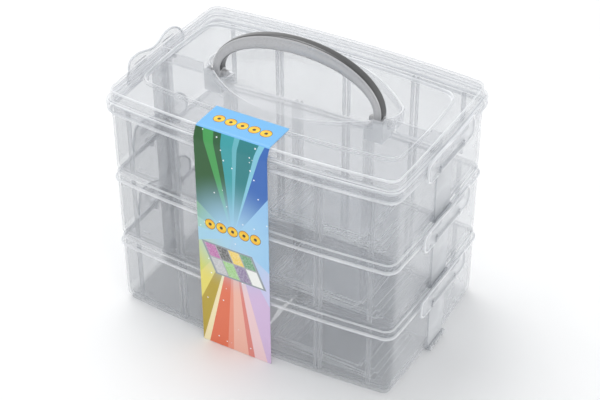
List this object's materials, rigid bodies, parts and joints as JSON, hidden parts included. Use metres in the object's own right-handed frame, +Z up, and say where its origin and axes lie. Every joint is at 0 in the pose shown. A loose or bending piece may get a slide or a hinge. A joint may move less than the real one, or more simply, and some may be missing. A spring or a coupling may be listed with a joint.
{
  "type": "stackable carry box with trays",
  "caption": "Clear stackable carry box: trays nest on one another with loose dividers inside, hinged end clips, a lid and a folding handle.",
  "frame": {"origin": "middle of the footprint, on the surface that the box stands on", "axes": "+X to the box's right end, +Y to the back, +Z up; the card hangs on the front, -Y"},
  "size_m": [0.267, 0.1719, 0.2428],
  "materials": {
    "clear_tray": "clear polypropylene, glossy with a faint haze",
    "clear_divider": "clear polypropylene sheet, glossy",
    "clear_lid": "clear polypropylene, glossy",
    "clear_clip": "clear polypropylene, thicker and slightly milky",
    "silver_handle": "silver-grey metallic plastic, satin to glossy",
    "printed_card": "coated card with a printed pattern"
  },
  "bodies": {
    "root": {"bottom_tray": "clear_tray", "bottom_centre_wall": "clear_divider", "bottom_divider_1": "clear_divider", "bottom_divider_2": "clear_divider", "bottom_divider_3": "clear_divider", "bottom_divider_4": "clear_divider", "bottom_divider_5": "clear_divider", "bottom_divider_6": "clear_divider"},
    "bottom_clip_right": {"bottom_clip_right": "clear_clip"},
    "bottom_clip_left": {"bottom_clip_left": "clear_clip"},
    "middle_tier": {"middle_tray": "clear_tray", "middle_centre_wall": "clear_divider", "middle_divider_1": "clear_divider", "middle_divider_2": "clear_divider", "middle_divider_3": "clear_divider", "middle_divider_4": "clear_divider", "middle_divider_5": "clear_divider", "middle_divider_6": "clear_divider"},
    "middle_clip_right": {"middle_clip_right": "clear_clip"},
    "middle_clip_left": {"middle_clip_left": "clear_clip"},
    "top_tier": {"top_tray": "clear_tray", "top_centre_wall": "clear_divider", "top_divider_1": "clear_divider", "top_divider_2": "clear_divider", "top_divider_3": "clear_divider", "top_divider_4": "clear_divider", "top_divider_5": "clear_divider", "top_divider_6": "clear_divider"},
    "top_clip_right": {"top_clip_right": "clear_clip"},
    "top_clip_left": {"top_clip_left": "clear_clip"},
    "lid": {"lid": "clear_lid", "printed_card": "printed_card"},
    "handle": {"carry_handle": "silver_handle"}
  },
  "joints": [
    {"name": "middle_lift", "type": "slide", "parent": "root", "child": "middle_tier", "axis": [0, 0, 1], "range_m": [0, 0.075]},
    {"name": "top_lift", "type": "slide", "parent": "middle_tier", "child": "top_tier", "axis": [0, 0, 1], "range_m": [0, 0.075]},
    {"name": "lid_lift", "type": "slide", "parent": "top_tier", "child": "lid", "axis": [0, 0, 1], "range_m": [0, 0.075]},
    {"name": "handle_fold", "type": "hinge", "parent": "lid", "child": "handle", "pos_m": [0, 0, 0.19555], "axis": [-1, 0, 0], "range_deg": [-5, 84]},
    {"name": "bottom_clip_right_turn", "type": "hinge", "parent": "root", "child": "bottom_clip_right", "pos_m": [0.1297, 0, 0.0565], "axis": [0, 1, 0], "range_deg": [0, 100]},
    {"name": "bottom_clip_left_turn", "type": "hinge", "parent": "root", "child": "bottom_clip_left", "pos_m": [-0.1297, 0, 0.0565], "axis": [0, -1, 0], "range_deg": [0, 100]},
    {"name": "middle_clip_right_turn", "type": "hinge", "parent": "middle_tier", "child": "middle_clip_right", "pos_m": [0.1297, 0, 0.1195], "axis": [0, 1, 0], "range_deg": [0, 100]},
    {"name": "middle_clip_left_turn", "type": "hinge", "parent": "middle_tier", "child": "middle_clip_left", "pos_m": [-0.1297, 0, 0.1195], "axis": [0, -1, 0], "range_deg": [0, 100]},
    {"name": "top_clip_right_turn", "type": "hinge", "parent": "top_tier", "child": "top_clip_right", "pos_m": [0.1297, 0, 0.1825], "axis": [0, 1, 0], "range_deg": [0, 100]},
    {"name": "top_clip_left_turn", "type": "hinge", "parent": "top_tier", "child": "top_clip_left", "pos_m": [-0.1297, 0, 0.1825], "axis": [0, -1, 0], "range_deg": [0, 100]}
  ]
}
